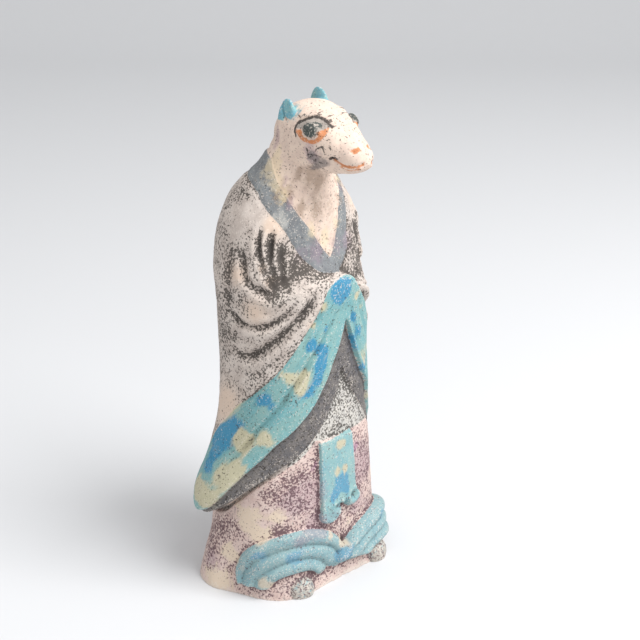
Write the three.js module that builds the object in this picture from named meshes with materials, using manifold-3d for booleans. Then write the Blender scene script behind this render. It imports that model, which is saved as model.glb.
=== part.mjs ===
// A tomb figure in painted earthenware: a robed human body with the head of an animal.
// Millimetres, +Z up. The origin is the centre of the flat underside and the figure faces -Y,
// so its right arm is on the -X side.
//
// The robe is one surface round the upright axis. A point on it is given by its angle from the
// front and its height, and a function gives its distance from the axis. Guide lines climb round
// the body (hem, lining, cuff, forearm) and the rows of the surface follow them, so that each
// edge of the cloth stays crisp. The head is a loft along the snout.

import * as THREE from 'three';
import { mergeVertices } from 'three/addons/utils/BufferGeometryUtils.js';
import Module from 'manifold-3d';

const wasm = await Module();
wasm.setup();

// Driving dimensions
const crownHeight = 262;
const hemHeight = 90;
const stepHalf = 0.7;
const liningDepth = 3.2;
const apexLean = 5;
const girth = 44;
const earTip = { near: 280, far: 283 };
const headFront = -60;
const headBack = 5.5;

// Cross-sections of the layers: height, half width, depth in front, depth behind
const skirtRows = [
  [0, 57.5, 41.5, 40], [12, 53.5, 39.5, 38], [30, 49.5, 37.5, 36], [60, 47, 37, 35], [92, 44.5, 35.5, 34.5],
];
const tunicRows = [
  [80, 46, 36.4, 35], [92, 46, 36.6, 35], [120, 44, 33.8, 35], [140, 43, 32.6, 35], [160, 43, 32, 35],
];
const sleeveRows = [
  [30, 58, 37, 38], [42, 62.5, 37.5, 41], [52, 64.5, 38, 42], [60, 61.5, 38, 40.5], [70, 56, 38.2, 37.5],
  [80, 51.3, 38.5, 35.5], [100, 46, 38.5, 32.5], [120, 44, 38.2, 31.4], [145, 44, 38.3, 32.4], [165, 44.6, 39.6, 33.8],
  [178, 44.6, 40.3, 34.6], [184, 44.6, 39.6, 34.8], [189, 44.5, 37, 35], [194, 44.5, 34, 35],
];
const chestRows = [
  [178, 44.5, 28.5, 34.5], [190, 44, 28, 35], [205, 42.2, 26.3, 34.3], [218, 39.2, 25.2, 31.5], [228, 34.5, 23.5, 27],
  [236, 28.5, 20.5, 21.5], [243, 21.5, 18.6, 18.4], [250, 17.6, 17.6, 16.6], [256, 15.8, 16, 14.2], [262, 12, 13, 11],
];

// Guide lines: degrees from the front, height
const liningLine = [
  [0, 134], [4, 126], [9, 118], [19, 107], [29, 98], [39, 91], [50, 85], [60, 78.5], [69, 71.5], [79, 64.5],
  [89, 56.5], [99, 49], [107, 44], [114, 42], [124, 44], [135, 52], [150, 62], [180, 66],
];
const cuffLine = [
  [0, 160], [3, 153], [8, 146], [16, 138], [24, 130], [31, 121], [39, 112], [46, 105], [58, 94], [69, 83],
  [81, 70.5], [97, 54.5], [106, 47], [114, 44], [124, 46], [135, 54], [150, 64], [180, 68],
];
const cuffTopLine = [
  [0, 187], [10, 185.5], [17, 183], [25, 178], [31, 172], [38, 163], [49, 150], [59, 138], [69, 128],
  [77, 121], [88, 113], [100, 103], [111, 92], [122, 76], [132, 64], [140, 61], [150, 66], [180, 70],
];
const shelfNear = [[0, 193], [20, 193], [30, 191.5], [40, 190], [50, 187], [60, 184], [180, 184]];
const shelfFar = [[0, 193], [10, 189.5], [20, 185], [35, 179], [60, 177], [110, 184], [180, 184]];

// Folds pressed into the cloth: depth, half width, then points (degrees from the front, height)
const robeFolds = [
  { depth: 2.6, width: 2.8, line: [[74, 222], [76, 212], [72, 203], [63, 193]] },
  { depth: 3.2, width: 2.8, line: [[66, 218], [67, 209], [63, 200], [55, 189]] },
  { depth: 2.6, width: 2.8, line: [[56, 211], [56, 201], [53, 189]] },
  { depth: 2.2, width: 3.2, line: [[94, 204], [84, 195], [73, 189], [60, 185]] },
  { depth: 2.6, width: 3.6, line: [[91, 172], [80, 165], [66, 162], [54, 165], [42, 172.5], [30, 181]] },
  { depth: 3.4, width: 3.8, line: [[88, 148], [78, 146], [67, 147.5], [55, 153], [42, 161.5], [30, 171], [20, 181]] },
];
const cuffFolds = [
  {
    depth: 2.4, width: 3,
    line: [[7, 172], [13, 163], [20, 156], [31, 146], [41, 137], [53, 121], [66, 106], [75, 97], [84, 87]],
  },
  { depth: 1.3, width: 2.8, line: [[20, 176], [29, 165], [40, 152], [53, 138]] },
];
const backFolds = { count: 5, spread: 0.24, depth: 1.1, width: 3.2, top: 200, foot: 78 };
const collarInner = [[0, 192], [17, 202], [33, 215], [48, 228], [65, 237], [91, 246], [120, 248], [180, 248]];
const collarOuter = [[0, 181], [16, 187], [33, 196], [47, 208], [60, 219], [77, 230], [115, 239], [180, 240]];

// The sash panel with its two curled ends, and the ribbed scrolls at the foot
const sash = { half: 15, top: 92, low: 51, rise: 3.4, centre: 1.6, curlRadius: 7.4, curlAside: 8, curlHeight: 52 };
const scroll = { angle: 42, height: 4, low: 0.6, frontLow: 8, edges: [8.5, 18.5, 28, 36], rise: 3.4, lobeRise: 6.5 };
const boss = { radius: 5.6, aside: 32.5, front: -39, height: 5.4 };

// The head: y, top, bottom, half width, height of the widest line
const headRows = [
  [headFront, 254.6, 251.4, 1.6, 253], [-58.6, 257.4, 249.3, 4.8, 252.8], [-56, 259.4, 247.2, 7.2, 253.4],
  [-52, 262.3, 245.9, 9.2, 254.4], [-46, 266.6, 245, 11, 256.4], [-40, 271.2, 244.3, 13.3, 259],
  [-34, 275.4, 243.2, 15.4, 260.8], [-28, 278, 241.5, 16.7, 261.5], [-20, 279.2, 239, 17, 261.5],
  [-12, 278.9, 237, 16.5, 261], [-5, 277.2, 239, 15.2, 260.5], [0, 274.5, 243, 12.8, 260.5],
  [4, 269.5, 250, 8.4, 261], [headBack, 265, 257, 3, 261],
];
const eye = { aside: 13.4, front: -30.2, height: 266.4, wide: 6.4, tall: 5.2, deep: 4 };
const ear = { base: 267, aside: 11.6, lean: 1.2, front: -12.3, thick: 2.7, wide: 6.6 };

const degrees = Math.PI / 180;

function clamp(x, low = 0, high = 1) {
  return Math.min(Math.max(x, low), high);
}

function smooth(from, to, x) {
  const k = clamp((x - from) / (to - from));
  return k * k * (3 - 2 * k);
}

function mix(a, b, k) {
  return a + (b - a) * k;
}

function bump(distance, width) {
  return Math.exp(-((distance / width) ** 2));
}

// A smooth curve through hand-set points, each a row whose first number is x
function curve(x, points, column = 1) {
  const last = points.length - 1;
  const at = clamp(x, points[0][0], points[last][0]);
  let i = 0;
  while (i < last - 1 && at >= points[i + 1][0]) i += 1;
  const slope = (j) => (points[j + 1][column] - points[j][column]) / (points[j + 1][0] - points[j][0]);
  const tangent = (j) => {
    if (j === 0) return slope(0);
    if (j === last) return slope(last - 1);
    const before = slope(j - 1);
    const after = slope(j);
    return before * after <= 0 ? 0 : (before + after) / 2;
  };
  const run = points[i + 1][0] - points[i][0];
  const u = (at - points[i][0]) / run;
  const start = points[i][column] * (1 + 2 * u) * (1 - u) ** 2 + tangent(i) * run * u * (1 - u) ** 2;
  const end = points[i + 1][column] * u * u * (3 - 2 * u) + tangent(i + 1) * run * u * u * (u - 1);
  return start + end;
}

// Distance from the axis to an oval whose front and back have their own depths and squareness
function oval(angle, z, rows, squareFront, squareBack) {
  const forward = Math.cos(angle) > 0;
  const depth = curve(z, rows, forward ? 2 : 3);
  const n = forward ? squareFront : squareBack;
  const across = Math.abs(Math.sin(angle)) / curve(z, rows, 1);
  const along = Math.abs(Math.cos(angle)) / depth;
  return (across ** n + along ** n) ** (-1 / n);
}

// Least distance from a point to a fold's line, on the cloth laid flat, and how far along it
function foldDistance(flat, z, line) {
  const steps = 24;
  const knots = line.map((point, i) => [i, point[0] * degrees * girth, point[1]]);
  let best = Infinity;
  let along = 0;
  let last = [knots[0][1], knots[0][2]];
  for (let i = 1; i <= steps; i += 1) {
    const k = (i / steps) * (line.length - 1);
    const next = [curve(k, knots, 1), curve(k, knots, 2)];
    const run = [next[0] - last[0], next[1] - last[1]];
    const s = clamp(((flat - last[0]) * run[0] + (z - last[1]) * run[1]) / (run[0] ** 2 + run[1] ** 2));
    const distance = Math.hypot(flat - last[0] - s * run[0], z - last[1] - s * run[1]);
    if (distance < best) {
      best = distance;
      along = (i - 1 + s) / steps;
    }
    last = next;
  }
  return { distance: best, along };
}

function foldDepth(angleFromFront, z, folds) {
  let depth = 0;
  for (const fold of folds) {
    const { distance, along } = foldDistance(angleFromFront * degrees * girth, z, fold.line);
    const taper = Math.sqrt(smooth(0, 0.3, along) * smooth(0, 0.25, 1 - along));
    depth += fold.depth * taper * bump(distance, fold.width);
    depth -= 0.28 * fold.depth * taper * bump(distance - 2 * fold.width, fold.width);
  }
  return depth;
}

// The joined hands sit a little to the figure's left, and the lines of the cuffs lean with them
function fromApex(angle) {
  const turn = angle / degrees;
  return Math.abs(turn - apexLean * (1 - smooth(25, 75, Math.abs(turn))));
}

// Heights of hem, lining, cuff, top of cuff and forearm at an angle, each above the one before
function guides(angle) {
  const turn = Math.abs(angle / degrees);
  const lean = fromApex(angle);
  const lining = curve(lean, liningLine);
  const cuff = Math.max(curve(lean, cuffLine), lining + 2);
  const cuffTop = Math.max(curve(lean, cuffTopLine), cuff + 2);
  const hem = Math.min(hemHeight - 2.5 * smooth(25, 50, turn), lining - 2.5);
  const shelf = Math.max(curve(turn, angle < 0 ? shelfNear : shelfFar), cuffTop + 2);
  return [hem, lining, cuff, cuffTop, shelf];
}

function sashRise(angle, z) {
  const aside = angle * 36.5 - sash.centre;
  const panel = Math.max(Math.abs(aside) - sash.half + 0.02 * (sash.top - z), sash.low - z);
  return sash.rise * smooth(1, -1.2, panel) * smooth(sash.top + 4, sash.top - 1, z);
}

function footing(angle, z) {
  const turn = Math.abs(angle / degrees);
  return (3.4 * bump(turn - 104, 18) - 3 * bump(turn - 63, 13)) * smooth(36, 4, z);
}

function collar(angle, z) {
  const turn = Math.abs(angle / degrees);
  const inner = curve(turn, collarInner);
  const outer = curve(turn, collarOuter);
  return 1.2 * smooth(inner + 0.8, inner - 0.8, z) - 0.7 * bump(z - outer, 1.6);
}

function backFoldDepth(angle, z) {
  let depth = 0;
  for (let i = 0; i < backFolds.count; i += 1) {
    const centre = Math.PI + (i - (backFolds.count - 1) / 2) * backFolds.spread;
    const turn = Math.abs(((angle < 0 ? angle + 2 * Math.PI : angle) - centre) * 36);
    depth += backFolds.depth * bump(turn, backFolds.width);
  }
  return depth * smooth(backFolds.top, backFolds.top - 60, z) * smooth(40, 60, Math.abs(z - 20));
}

function skirtRadius(angle, z) {
  return oval(angle, z, skirtRows, 2.6, 2.6) + footing(angle, z);
}

// Distance of the body's surface from the upright axis
function bodyRadius(angle, z) {
  const [hem, lining, cuff, cuffTop, shelf] = guides(angle);
  const turn = Math.abs(angle / degrees);
  const lean = fromApex(angle);
  const tunic = oval(angle, z, tunicRows, 2.3, 2.3);
  const sleeve = oval(angle, z, sleeveRows, 2.4, 2.4);
  const squareChest = mix(2.35, 1.65, smooth(205, 236, z));
  const chest = oval(angle, z, chestRows, squareChest, 2.3) + collar(angle, z);
  const robe = mix(sleeve, chest, smooth(shelf - 8, shelf + 2.5, z)) - foldDepth(turn, z, robeFolds);
  let radius = skirtRadius(angle, z) + sashRise(angle, z);
  radius = mix(radius, tunic, smooth(hem - 0.6, hem + 0.6, z));
  radius = mix(radius, sleeve - liningDepth, smooth(lining - stepHalf, lining + stepHalf, z));
  radius = mix(radius, sleeve - foldDepth(lean, z, cuffFolds), smooth(cuff - stepHalf, cuff + stepHalf, z));
  radius = mix(radius, robe - backFoldDepth(angle, z), smooth(cuffTop - 0.5, cuffTop + 1.5, z));
  return radius - 0.9 * bump(z - cuffTop, 1.3) * smooth(95, 70, turn) * smooth(4, 14, lean);
}

function axisY(z) {
  return curve(z, [[205, 0], [228, -1.5], [238, -3.5], [248, -7], [256, -8]]);
}

function middleOf(ring) {
  return [0, 1, 2].map((axis) => ring.reduce((sum, point) => sum + point[axis], 0) / ring.length);
}

// Turns the triangles round if they face into the body they enclose
function facingOut(geometry) {
  const { position } = geometry.attributes;
  const index = Array.from(geometry.index.array);
  const corners = [new THREE.Vector3(), new THREE.Vector3(), new THREE.Vector3()];
  let volume = 0;
  for (let i = 0; i < index.length; i += 3) {
    corners.forEach((corner, j) => corner.fromBufferAttribute(position, index[i + j]));
    volume += corners[0].dot(corners[1].cross(corners[2]));
  }
  if (volume < 0) index.reverse();
  geometry.setIndex(index);
  return geometry;
}

// A closed surface from rings of points: each ring joins the next, and the two ends meet at points
function surface(rings, first, last) {
  const positions = [];
  const index = [];
  const sides = rings[0].length;
  for (const ring of rings) for (const point of ring) positions.push(...point);
  positions.push(...first, ...last);
  const firstIndex = rings.length * sides;
  for (let i = 0; i < sides; i += 1) {
    const j = (i + 1) % sides;
    for (let row = 0; row + 1 < rings.length; row += 1) {
      const a = row * sides;
      const b = a + sides;
      index.push(a + i, a + j, b + j, a + i, b + j, b + i);
    }
    const top = (rings.length - 1) * sides;
    index.push(firstIndex, j, i, firstIndex + 1, top + i, top + j);
  }
  const geometry = new THREE.BufferGeometry();
  geometry.setAttribute('position', new THREE.Float32BufferAttribute(positions, 3));
  geometry.setIndex(index);
  return facingOut(geometry);
}

// Columns stand close together round the front and sides and wider across the back
function columnAngles(frontCount, backCount, frontReach) {
  const angles = [];
  for (let i = 0; i < frontCount; i += 1) angles.push(mix(-frontReach, frontReach, i / (frontCount - 1)));
  for (let i = 1; i <= backCount; i += 1) {
    angles.push(mix(frontReach, 360 - frontReach, i / (backCount + 1)));
  }
  return angles.map((turn) => (turn > 180 ? turn - 360 : turn) * degrees);
}

// Heights of one column's points, with a pair of rows across each guide line
function rowHeights(angle, counts) {
  const levels = [0, ...guides(angle), crownHeight];
  const heights = [];
  counts.forEach((count, band) => {
    const low = levels[band] + (band === 0 ? 0 : stepHalf);
    const high = levels[band + 1] - (band === counts.length - 1 ? 0 : stepHalf);
    for (let i = 0; i < count; i += 1) heights.push(mix(low, high, i / (count - 1)));
  });
  return heights;
}

function bodySurface() {
  const angles = columnAngles(56, 10, 124);
  const rowCounts = [12, 4, 3, 8, 9, 13];
  const columns = angles.map((angle) => rowHeights(angle, rowCounts));
  const rings = columns[0].map((_, row) => angles.map((angle, i) => {
    const z = columns[i][row];
    const radius = bodyRadius(angle, z);
    return [radius * Math.sin(angle), axisY(z) - radius * Math.cos(angle), z];
  }));
  return surface(rings, [0, 0, 0], [0, axisY(crownHeight), crownHeight]);
}

function headSurface() {
  const steps = 16;
  const sides = 22;
  const rings = [];
  for (let i = 0; i <= steps; i += 1) {
    const ease = (1 - Math.cos((Math.PI * i) / steps)) / 2;
    const y = mix(headFront, headBack, mix(i / steps, ease, 0.7));
    const top = curve(y, headRows, 1);
    const bottom = curve(y, headRows, 2);
    const half = curve(y, headRows, 3);
    const middle = curve(y, headRows, 4);
    const ring = [];
    for (let j = 0; j < sides; j += 1) {
      const turn = (2 * Math.PI * j) / sides;
      const x = half * Math.sign(Math.cos(turn)) * Math.abs(Math.cos(turn)) ** 0.85;
      const rise = Math.abs(Math.sin(turn)) ** 0.95;
      ring.push([x, y, middle + (Math.sin(turn) > 0 ? top - middle : bottom - middle) * rise]);
    }
    rings.push(ring);
  }
  return surface(rings, [0, headFront - 0.5, 253], [0, headBack + 0.5, 261]);
}

// An ear is a leaf standing on the head, hollowed a little on its outer face
function earSurface(side, tip) {
  const rings = [];
  for (let i = 0; i <= 5; i += 1) {
    const k = i / 6;
    const size = Math.sqrt(1 - k ** 2.2);
    const ring = [];
    for (let j = 0; j < 12; j += 1) {
      const turn = (2 * Math.PI * j) / 12;
      const hollow = 1.4 * Math.max(Math.cos(turn), 0) ** 4;
      const x = side * (ear.aside - ear.lean * k + size * (ear.thick * Math.cos(turn) - hollow));
      ring.push([x, ear.front + ear.wide * size * Math.sin(turn) + 0.6 * k, mix(ear.base, tip, k)]);
    }
    rings.push(ring);
  }
  return surface(rings, [side * ear.aside, ear.front, ear.base], [side * (ear.aside - ear.lean), ear.front + 0.6, tip]);
}

// A rib of a scroll: a flattened tube lying on the skirt, along an arc between two sizes of arc.
// The arcs are drawn out towards the front, where the two scrolls meet.
function ribSurface(side, from, to, rise) {
  const steps = 16;
  const sides = 8;
  const middle = (from + to) / 2;
  const half = ((to - from) / 2) * 1.04;
  const rings = [];
  for (let i = 0; i <= steps; i += 1) {
    const turn = Math.PI * (i / steps);
    const ring = [];
    for (let j = 0; j < sides; j += 1) {
      const round = (2 * Math.PI * (j + 0.5)) / sides;
      const arc = middle + half * Math.cos(round);
      const foot = Math.cos(turn) > 0 ? scroll.low : scroll.frontLow;
      const z = mix(foot, scroll.height + arc, Math.sin(turn));
      const reach = Math.cos(turn) > 0 ? 1.03 * arc : 1.2 * arc + 12 * clamp(1 - z / 24);
      const angle = side * (scroll.angle * degrees + (reach * Math.cos(turn)) / 50);
      const ending = Math.cos(turn) > 0 ? 1 : smooth(0, 0.4, Math.sin(turn));
      const proud = Math.sin(round) > 0 ? rise * 1.08 * ending : rise * 0.6;
      const radius = skirtRadius(angle, z) + proud * Math.sin(round);
      ring.push([radius * Math.sin(angle), -radius * Math.cos(angle), z + 0.01 * j]);
    }
    rings.push(ring);
  }
  return surface(rings, middleOf(rings[0]), middleOf(rings[steps]));
}

function ball(place, size) {
  const geometry = new THREE.SphereGeometry(1, 10, 7);
  geometry.scale(...size);
  geometry.translate(...place);
  return geometry;
}

function toSolid(geometry) {
  geometry.deleteAttribute('normal');
  geometry.deleteAttribute('uv');
  const merged = mergeVertices(geometry, 1e-4);
  const mesh = new wasm.Mesh({
    numProp: 3,
    vertProperties: new Float32Array(merged.attributes.position.array),
    triVerts: new Uint32Array(merged.index.array),
  });
  return new wasm.Manifold(mesh);
}

function toGeometry(solid) {
  const mesh = solid.getMesh();
  const geometry = new THREE.BufferGeometry();
  geometry.setAttribute('position', new THREE.BufferAttribute(mesh.vertProperties, 3));
  geometry.setIndex(new THREE.BufferAttribute(mesh.triVerts, 1));
  geometry.computeVertexNormals();
  return geometry;
}

// Everything was pressed and fired as one piece, so the parts are joined into one solid
let solid = toSolid(bodySurface()).add(toSolid(headSurface()));
for (let i = 0; i < 3; i += 1) {
  solid = solid.add(toSolid(ribSurface(-1, scroll.edges[i], scroll.edges[i + 1], scroll.rise)));
}
solid = solid.add(toSolid(ribSurface(1, scroll.edges[0], scroll.edges[3], scroll.lobeRise)));
for (const side of [-1, 1]) {
  const curlAngle = (sash.centre + side * sash.curlAside) / 36.5;
  const curlOut = skirtRadius(curlAngle, sash.curlHeight) + 0.6;
  const curlPlace = [curlOut * Math.sin(curlAngle), -curlOut * Math.cos(curlAngle), sash.curlHeight];
  solid = solid.add(toSolid(ball(curlPlace, [sash.curlRadius, sash.rise + 0.9, sash.curlRadius])));
  solid = solid.add(toSolid(earSurface(side, side < 0 ? earTip.near : earTip.far)));
  solid = solid.add(toSolid(ball([side * eye.aside, eye.front, eye.height], [eye.deep, eye.wide, eye.tall])));
  const bossSize = [boss.radius, boss.radius, boss.height];
  solid = solid.add(toSolid(ball([side * boss.aside, boss.front, boss.height], bossSize)));
}

const paintedEarthenware = new THREE.MeshStandardMaterial({ color: 0x8d8884, roughness: 0.85, metalness: 0 });
const figure = new THREE.Mesh(toGeometry(solid), paintedEarthenware);
figure.name = 'figure';

const group = new THREE.Group();
group.add(figure);

export default group;
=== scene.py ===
import bpy
import numpy as np
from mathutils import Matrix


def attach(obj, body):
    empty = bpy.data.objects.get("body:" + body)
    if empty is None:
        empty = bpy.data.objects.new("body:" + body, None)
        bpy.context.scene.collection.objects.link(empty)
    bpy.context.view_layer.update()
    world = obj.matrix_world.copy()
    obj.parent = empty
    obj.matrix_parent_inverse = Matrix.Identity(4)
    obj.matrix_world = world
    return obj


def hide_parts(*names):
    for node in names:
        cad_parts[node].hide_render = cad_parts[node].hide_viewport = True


# A tomb figure of painted earthenware, pressed in a mould, with the head of an animal.
# It faces -Y, with its right arm on the -X side. Shapes are worked out in millimetres and
# turned into metres when they go into a mesh.
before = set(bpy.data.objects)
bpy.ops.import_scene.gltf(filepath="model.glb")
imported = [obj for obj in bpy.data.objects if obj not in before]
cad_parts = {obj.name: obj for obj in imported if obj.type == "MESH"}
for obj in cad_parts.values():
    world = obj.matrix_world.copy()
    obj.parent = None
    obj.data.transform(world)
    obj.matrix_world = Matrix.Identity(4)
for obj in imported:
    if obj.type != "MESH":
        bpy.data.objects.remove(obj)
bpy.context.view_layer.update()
mm = 0.001
degrees = np.pi / 180

# Camera: the photograph looks down on the figure from its right front
view = {"azimuth": -46, "elevation": 22, "distance": 700, "target": (14, -9, 150), "lens": 70}
turn, rise = view["azimuth"] * degrees, view["elevation"] * degrees
back = np.array([np.sin(turn) * np.cos(rise), -np.cos(turn) * np.cos(rise), np.sin(rise)])
cameraData = bpy.data.cameras.new("camera")
cameraData.lens = view["lens"]
cameraData.sensor_width = 36
cameraData.clip_end = 20
camera = bpy.data.objects.new("camera", cameraData)
camera.location = (np.array(view["target"]) + view["distance"] * back) * mm
camera.rotation_euler = (np.pi / 2 - rise, 0, turn)
bpy.context.scene.collection.objects.link(camera)
bpy.context.scene.camera = camera
print("camera placed")


def smooth(low, high, x):
    # 0 below low, 1 above high, and an even S-curve between
    k = np.clip((x - low) / (high - low), 0, 1)
    return k * k * (3 - 2 * k)


def mix(a, b, k):
    return a + (b - a) * k


def bump(distance, width):
    # a bell: 1 at distance 0, falling away over width
    return np.exp(-(distance / width) ** 2)


def curve(x, points, column=1):
    # a smooth line through given points: cubic pieces, the slope at a point the mean of its two sides
    knots = np.array([point[0] for point in points], float)
    values = np.array([point[column] for point in points], float)
    slopes = np.diff(values) / np.diff(knots)
    middle = np.where(slopes[1:] * slopes[:-1] <= 0, 0, (slopes[1:] + slopes[:-1]) / 2)
    tangents = np.concatenate([slopes[:1], middle, slopes[-1:]])
    x = np.clip(x, knots[0], knots[-1])
    i = np.clip(np.searchsorted(knots, x, side="right") - 1, 0, len(knots) - 2)
    run = knots[i + 1] - knots[i]
    u = (x - knots[i]) / run
    start = values[i] * (1 + 2 * u) * (1 - u) ** 2 + tangents[i] * run * u * (1 - u) ** 2
    return start + values[i + 1] * u * u * (3 - 2 * u) + tangents[i + 1] * run * u * u * (u - 1)


def oval(angle, z, rows, squareFront, squareBack):
    # distance from the axis to a squared oval, its half width and depths read from rows by height
    forward = np.cos(angle) > 0
    depth = np.where(forward, curve(z, rows, 2), curve(z, rows, 3))
    n = np.where(forward, squareFront, squareBack)
    across = np.abs(np.sin(angle)) / curve(z, rows, 1)
    along = np.abs(np.cos(angle)) / depth
    return (across ** n + along ** n) ** (-1 / n)


# Layers of the dress: height, half width, depth in front, depth behind
layers = {
    "skirt": [(0, 57.5, 41.5, 40), (12, 54.8, 39.5, 38), (30, 50.8, 37.5, 36), (60, 47.6, 37, 35), (92, 44.5, 35.5, 34.5)],
    "tunic": [(80, 45, 36, 35), (92, 45, 36, 35), (120, 43.2, 33.2, 34.6), (140, 42.2, 32, 34.6), (160, 42.2, 31.4, 34.6)],
    "sleeve": [(30, 58, 37, 38), (42, 61.3, 37.5, 41), (52, 64, 38, 41.6), (60, 62.3, 38, 40.7), (70, 57.4, 38, 38.2),
               (80, 52.6, 38, 36.2), (100, 46.4, 38.5, 32.6), (120, 43.9, 38.2, 31.2), (145, 43.2, 37.4, 31.9),
               (165, 43.1, 37.9, 33.1), (178, 43.4, 39.4, 33.9), (184, 43.4, 38.8, 34), (189, 43.4, 36.5, 34.2),
               (194, 43.2, 33.5, 34.2)],
    "chest": [(178, 43.4, 28.2, 33.8), (190, 43, 27.6, 34.2), (205, 40.6, 25.8, 33.6), (218, 37.2, 24.6, 31),
              (228, 31.2, 22.6, 28.8), (236, 25.9, 20, 23.4), (243, 19.6, 18.2, 18.6), (250, 16.9, 17.2, 15.4),
              (256, 15.2, 15.6, 12.9), (262, 11.5, 12.6, 10)],
    "crown": 262,
    "liningDepth": 3.2,
    "girth": 44,
}
# Distance of the foot's edge from the axis: degrees round from the front, mm
ground = [(-180, 39.6), (-160, 42), (-140, 48.5), (-118, 57.5), (-107, 59.8), (-97, 58.8), (-89, 55.2), (-79, 52.6),
          (-64, 52), (-52, 51), (-43, 48.6), (-32, 44.5), (-22, 40.8), (-11, 39), (4, 38.9), (15, 40.8), (29, 46),
          (38, 51.5), (46, 54.5), (56, 54), (68, 52.6), (79, 52.6), (89, 55.2), (97, 58.8), (107, 59.8), (118, 57.5),
          (140, 48.5), (160, 42), (180, 39.6)]

# Guide lines of the dress: degrees from the front, negative on the side that the camera sees, and height
guideLines = {
    "lining": [(-180, 66), (-150, 62), (-135, 53), (-124, 46.5), (-114, 45), (-107, 46), (-97, 49.8), (-89, 56),
               (-79, 64), (-69, 71.8), (-59, 77.7), (-47, 84), (-35, 89.8), (-27, 95.2), (-16, 103), (-8, 110),
               (0, 117.5), (5, 124.5), (8, 131.7), (11, 129.5), (18, 121), (31, 107.3), (40, 98.5), (48, 91.3),
               (57, 86.5), (69, 78), (79, 69), (89, 59), (97, 51), (107, 46), (114, 45), (124, 46.5), (135, 53),
               (150, 62), (180, 66)],
    "cuff": [(-180, 68), (-150, 64), (-135, 55), (-124, 48.5), (-114, 47), (-107, 48), (-101, 50.5), (-94, 55.5),
             (-88, 62.5), (-82, 70.5), (-75, 78.5), (-65, 87.3), (-57, 94.5), (-45, 101.9), (-34, 110), (-24, 118.3),
             (-17, 125.9), (-10, 133.5), (-4, 141), (2, 149), (6, 156), (8, 160.5), (10, 159), (17, 149), (26, 135.2),
             (36, 122.3), (45, 115), (52, 110), (58, 103), (66, 90), (75, 78.5), (82, 70.5), (88, 62.5), (94, 55.5),
             (101, 50.5), (107, 48), (114, 47), (124, 48.5), (135, 55), (150, 64), (180, 68)],
    "cuffTop": [(-180, 70), (-150, 67), (-140, 63), (-132, 66), (-122, 76), (-113, 88), (-106, 97), (-96, 106),
                (-88, 114), (-76, 121.6), (-63, 131.1), (-53, 139.1), (-44, 147.7), (-37, 155.3), (-29, 163.2),
                (-23, 169.6), (-18, 176.9), (-14, 182.4), (-6, 185.3), (3, 186.6), (10, 186), (17, 183.9),
                (21, 179.4), (30, 172), (37, 167), (44, 160), (53, 150), (63, 138), (76, 123), (88, 114), (96, 106),
                (106, 97), (113, 88), (122, 76), (132, 66), (140, 63), (150, 67), (180, 70)],
    "shelf": [(-180, 184), (-60, 184), (-50, 187), (-40, 190), (-30, 191.5), (-20, 193), (0, 193), (10, 189.5),
              (20, 185), (35, 179), (60, 177), (110, 184), (180, 184)],
    "collarInner": [(-180, 250), (-106, 249), (-86, 244), (-69, 238), (-57, 233), (-44, 226), (-33, 219), (-20, 211),
                    (-7, 202), (2, 196.5), (5, 195), (8, 196.5), (15, 202), (22, 210), (28, 219), (43, 228),
                    (55, 232.5), (75, 239), (96, 245), (125, 249), (180, 250)],
    "collarOuter": [(-180, 238), (-114, 237), (-85, 232.5), (-74, 227), (-62, 221), (-50, 214), (-43, 207), (-34, 199),
                    (-23, 193), (-15, 190), (0, 188.5), (18, 187), (28, 192), (33, 197), (36, 208), (41, 218),
                    (50, 225), (61, 230), (80, 234), (114, 237), (180, 238)],
}

# Folds pressed into the cloth: depth, half width, then points of degrees from the front and height.
# Those of the robe lie on both sides; those of the cuff have the sign of their side.
folds = {
    "robe": [
        (2.4, 1.5, [(68, 218), (70, 211), (68.5, 204), (65, 196), (60, 188), (55, 183)]),
        (3.0, 1.8, [(60, 216), (61, 208), (61, 200), (58, 192), (54.5, 185)]),
        (2.0, 2.1, [(51, 208), (53, 199), (52, 192), (51, 185)]),
        (2.2, 2.0, [(83, 206), (80, 198.4), (78, 191), (73, 186), (65, 183), (57, 181.5)]),
        (0.9, 3.0, [(92, 198), (93, 184), (95, 172)]),
        (2.3, 2.0, [(95, 171), (88, 166), (79, 163), (70, 163.3), (61, 165.2), (53, 168.6), (46, 173), (38, 180)]),
        (3.4, 2.6, [(91, 147), (81, 145.3), (74, 146.2), (66, 150), (56, 156), (49, 160.8), (41, 166.5), (35, 171.5),
                    (30, 176), (25, 181.5)]),
        (0.9, 1.8, [(66, 171), (58, 172), (50, 177), (42, 183)]),
    ],
    "cuff": [
        (2.0, 1.35, [(-3, 170), (-10, 160.3), (-16, 155.2), (-23, 148.8), (-30, 143), (-39, 133), (-46, 126),
                     (-54, 117), (-63, 108.4), (-71, 101), (-77, 94), (-85, 85), (-93, 76)]),
        (1.1, 1.3, [(-14, 178), (-20, 170.5), (-24, 165.2), (-31, 159.6), (-35, 152.5), (-42, 144)]),
        (0.8, 1.0, [(-42, 123.5), (-52, 114.4), (-58, 108.9), (-66, 102), (-74, 95.8), (-82, 86)]),
        (0.9, 1.6, [(12, 172), (15, 163), (21, 152), (30, 138), (42, 124)]),
        (0.8, 1.4, [(22, 172), (31, 158), (42, 143)]),
    ],
    "foot": [(0.5, 0.8, [(-86, 4), (-88, 10), (-86, 17), (-79, 24.5), (-70, 33)])],
    "back": {"count": 5, "spread": 0.24, "depth": 1.3, "width": 3.2, "top": 200},
}

# The sash: a panel laid flat on the skirt. Its sides and the two curls at its foot are in mm across and up,
# each curl with its radius and the middle of its hollow.
sash = {"left": -14.3, "right": 10.5, "flare": 0.045, "top": 93, "low": 50, "rise": 3.2, "span": 36.5,
        "curls": [(-7.3, 47.6, 7.4, -2.6, 49.8), (8.9, 50.3, 5.6, 8.9, 52.2)], "hollow": 2.2}
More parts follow.
